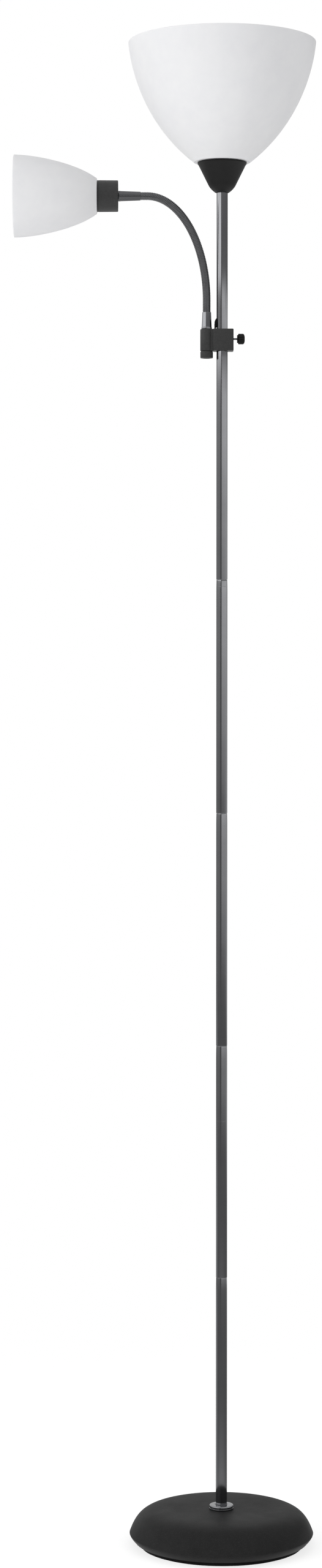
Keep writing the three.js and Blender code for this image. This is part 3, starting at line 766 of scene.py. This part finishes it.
def build_neck():
    path = neck_path()
    foot = Vector((NECK_X, 0, high("lower_ferrule").z))
    tail = neck_arc(1) + Vector((-TAIL, 0, 0))
    joints = [foot] + [neck_arc(i / (JOINTS - 1)) for i in range(JOINTS)] + [tail]
    middles = [(a + b) / 2 for a, b in zip(joints, joints[1:])]

    def nearest(spot):
        return min(range(len(path)), key=lambda i: (path[i][1] - spot).length)

    cuts = [0] + [nearest(m) for m in middles[1:-1]] + [len(path) - 1]
    for k in range(JOINTS):
        coils = [neck_ring(spot, ahead, length) for length, spot, ahead in path[cuts[k]:cuts[k + 1] + 1]]
        first, last = (neck_ring(*path[cut][1:]) for cut in cuts[k:k + 2])
        sleeve = grid(f"gooseneck_{k + 1}", [first, *coils, last], True, sharp=75)
        sleeve.data.materials.append(MATS["neck_steel"])
        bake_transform(sleeve)
        nodes = [f"neck_link_{k}"] + ([f"neck_link_{k + 1}"] if k == JOINTS - 1 else [])
        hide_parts(*nodes)


# Reading light

def build_reading_light():
    body = "reading_light"
    start = high("upper_ferrule").x
    reach = start - low("holder_cup").x
    cup_at = start - high("holder_cup").x
    stud = start - low("upper_ferrule").x
    length = 26.4
    ferrule = rounded([
        (4.55, 0, 0.2), (5.2, 0, 0.35), (5.45, 6), (6.1, length - 2.6, 0.3), (6.25, length - 2.2, 0.2),
        (6.25, length, 0.3), (4, length, 0.1), (4, stud, 0.4), (2.2, stud, 0.2), (2.2, 10, 0.2),
        (4.5, 10, 0.2),
    ])
    piece(turned("neck_end", ferrule, sideways(start), 96), body, "neck_steel", "upper_ferrule")

    r, wall = 18.75, 1.6
    size = reach - cup_at
    cup = rounded([
        (4.3, 0, 0.2), (8.6, 0, 0.2), (8.9, 0.35, 0.2), (10.0, 0.35, 0.2), (10.3, 0, 0.2), (r - 0.2, 0, 1.0),
        (r, size - 1.6, 0.15), (r - 0.25, size - 1.35, 0.12), (r - 0.25, size - 1.0, 0.12),
        (r, size - 0.8, 0.15), (r, size, 0.35), (r - wall, size, 0.3), (r - wall, 2.5, 0.8), (4.3, 2.5, 0.2),
    ])
    barrel = turned("holder_barrel", cup, sideways(high("holder_cup").x), 128)
    piece(barrel, body, "grey_plastic", "holder_cup")

    x = high("reading_shade").x
    outline = shade_outline(20.9, (18.1, 24.5), 48.7, (0, 25), x - low("reading_shade").x, 14.2)
    piece(turned("bell_shade", outline, sideways(x), 160), body, "opal_shade", "reading_shade")

    x = high("reading_shade_ring").x
    height = x - low("reading_shade_ring").x
    collar = rounded([(14.3, 0, 0.2), (17.6, 0, 0.2), (17.6, 1.0, 0.2), (18, 1.3, 0.2), (18, height, 0.8),
                      (15, height, 0.4), (14.3, height - 0.7, 0.3)])
    piece(turned("bell_shade_ring", collar, sideways(x), 192, ribs(32, 0.6, 17.9)), body, "black_plastic",
          "reading_shade_ring")

    build_bulb("reading", "bell", body, sideways, (high("reading_lampholder").x, low("reading_lampholder").x),
               READ_HOLDER, READ_BULB)


def dress_hidden():
    """CAD nodes whose shape is right keep it and get the full material."""
    zinc = ["base_plate", "base_washer", "base_nut", "base_nipple", "top_nipple", "cup_locknut"]
    zinc.append("holder_locknut")
    zinc += [f"pole_coupler_{i}" for i in range(1, 6)]
    slots = {name: "zinc_steel" for name in zinc}
    slots |= {"base_weight": "cement", "pole_cable": "cable_sheath", "top_contact": "brass",
              "reading_contact": "brass"}
    for name, slot in slots.items():
        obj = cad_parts[name]
        obj.data.materials.clear()
        obj.data.materials.append(MATS[slot])


build_base()
build_pole()
build_top_light()
build_clamp()
build_neck()
build_reading_light()
dress_hidden()


# Stage: a pale floor that fades out, studio light and the camera

def build_floor():
    bm = bmesh.new()
    bmesh.ops.create_circle(bm, cap_ends=True, segments=96, radius=1.5)
    mesh = bpy.data.meshes.new("floor")
    bm.to_mesh(mesh)
    bm.free()
    floor = bpy.data.objects.new("floor", mesh)
    bpy.context.scene.collection.objects.link(floor)
    mat = bpy.data.materials.new("pale_floor")
    mat.use_nodes = True
    tree = mat.node_tree
    shader = tree.nodes["Principled BSDF"]
    coords = node(tree, "ShaderNodeTexCoord").outputs["Object"]
    distance = node(tree, "ShaderNodeVectorMath", {0: coords}, operation="LENGTH").outputs["Value"]
    fade = smooth(tree, distance, 0.35, 1.2, 0.4, 0.0)
    mottle = noise(tree, coords, 30, 3)
    shade = mix_colour(tree, mottle, (0.93, 0.93, 0.93, 1), (0.96, 0.96, 0.96, 1))
    tree.links.new(shade, shader.inputs["Base Color"])
    tree.links.new(fade, shader.inputs["Alpha"])
    shader.inputs["Roughness"].default_value = 0.9
    shader.inputs["Specular IOR Level"].default_value = 0.1
    shader.inputs["Emission Color"].default_value = (1, 1, 1, 1)
    shader.inputs["Emission Strength"].default_value = 0.3
    mesh.materials.append(mat)
    floor.visible_glossy = False


def build_world():
    """White to the camera. To the lamp, a studio with bright sides and ceiling and a dark camera side."""
    world = bpy.data.worlds.new("studio")
    bpy.context.scene.world = world
    world.use_nodes = True
    tree = world.node_tree
    tree.nodes.clear()
    way = node(tree, "ShaderNodeSeparateXYZ", {0: node(tree, "ShaderNodeTexCoord").outputs["Generated"]})
    x, y, z = way.outputs

    def mixed(share, a, b):
        return node(tree, "ShaderNodeMix", {0: share, 2: a, 3: b}, data_type="FLOAT").outputs[0]

    upper_left = mixed(smooth(tree, y, 0.0, 0.5, 0, 1), 1.55, 0.85)
    upper_right = mixed(smooth(tree, y, 0.3, 0.7, 0, 1), 0.26, 0.12)
    upper = mixed(smooth(tree, x, -0.42, -0.3, 0, 1), upper_left, upper_right)
    lower_left = mixed(smooth(tree, x, -0.66, -0.5, 0, 1), remap(tree, z, -0.2, 0.08, 0.26, 0.48), 0.18)
    lower_right = mixed(smooth(tree, y, 0.1, 0.5, 0, 1), remap(tree, z, -0.2, 0.08, 0.26, 1.15), 0.7)
    lower = mixed(smooth(tree, x, -0.16, -0.05, 0, 1), lower_left, lower_right)
    beside = mixed(smooth(tree, y, 0.0, 0.4, 0, 1), 0.2, 0.6)
    near_floor = mixed(smooth(tree, x, -0.7, -0.5, 0, 1), beside, 0.2)
    band = mixed(smooth(tree, z, 0.088, 0.106, 0, 1), lower, upper)
    band = mixed(smooth(tree, z, -0.21, -0.14, 0, 1), near_floor, band)
    back = mixed(smooth(tree, y, 0.8, 0.93, 0, 1), band, 0.7)
    ceiling = mixed(smooth(tree, z, 0.25, 0.5, 0, 1), back, 0.78)
    ground = mixed(smooth(tree, z, -0.5, -0.28, 0, 1), 0.9, ceiling)
    studio = node(tree, "ShaderNodeBackground", {"Color": (1, 1, 1, 1), "Strength": ground})
    white = node(tree, "ShaderNodeBackground", {"Color": (1, 1, 1, 1), "Strength": 1.0})
    seen = node(tree, "ShaderNodeLightPath").outputs["Is Camera Ray"]
    both = node(tree, "ShaderNodeMixShader", {0: seen, 1: studio.outputs[0], 2: white.outputs[0]})
    node(tree, "ShaderNodeOutputWorld", {"Surface": both.outputs[0]})


def soft_light(name, place, aim, size, power):
    """A large softbox that lights matt surfaces but isn't mirrored in the plated ones."""
    data = bpy.data.lights.new(name, "AREA")
    data.shape = "RECTANGLE"
    data.size, data.size_y = size
    data.energy = power
    light = bpy.data.objects.new(name, data)
    bpy.context.scene.collection.objects.link(light)
    light.location = place
    light.rotation_euler = (Vector(aim) - Vector(place)).to_track_quat("-Z", "Y").to_euler()
    light.visible_glossy = False


build_floor()
build_world()
soft_light("soft_left", (-5.0, -3.2, 1.2), (0, 0, 1.0), (2.5, 3.5), 150)
soft_light("soft_right", (3.5, -5.0, 1.2), (0, 0, 1.0), (2.5, 3.5), 60)

CAMERA_PLACE = (-0.073, -3.80, 1.0341)
CAMERA_DIP = 1.73  # degrees below the horizon

camera_data = bpy.data.cameras.new("camera")
camera_data.sensor_width = 36
camera_data.lens = 72.7
camera = bpy.data.objects.new("camera", camera_data)
bpy.context.scene.collection.objects.link(camera)
camera.location = CAMERA_PLACE
camera.rotation_euler = (math.radians(90 - CAMERA_DIP), 0, 0)
bpy.context.scene.camera = camera
bpy.context.scene.view_settings.view_transform = "Standard"
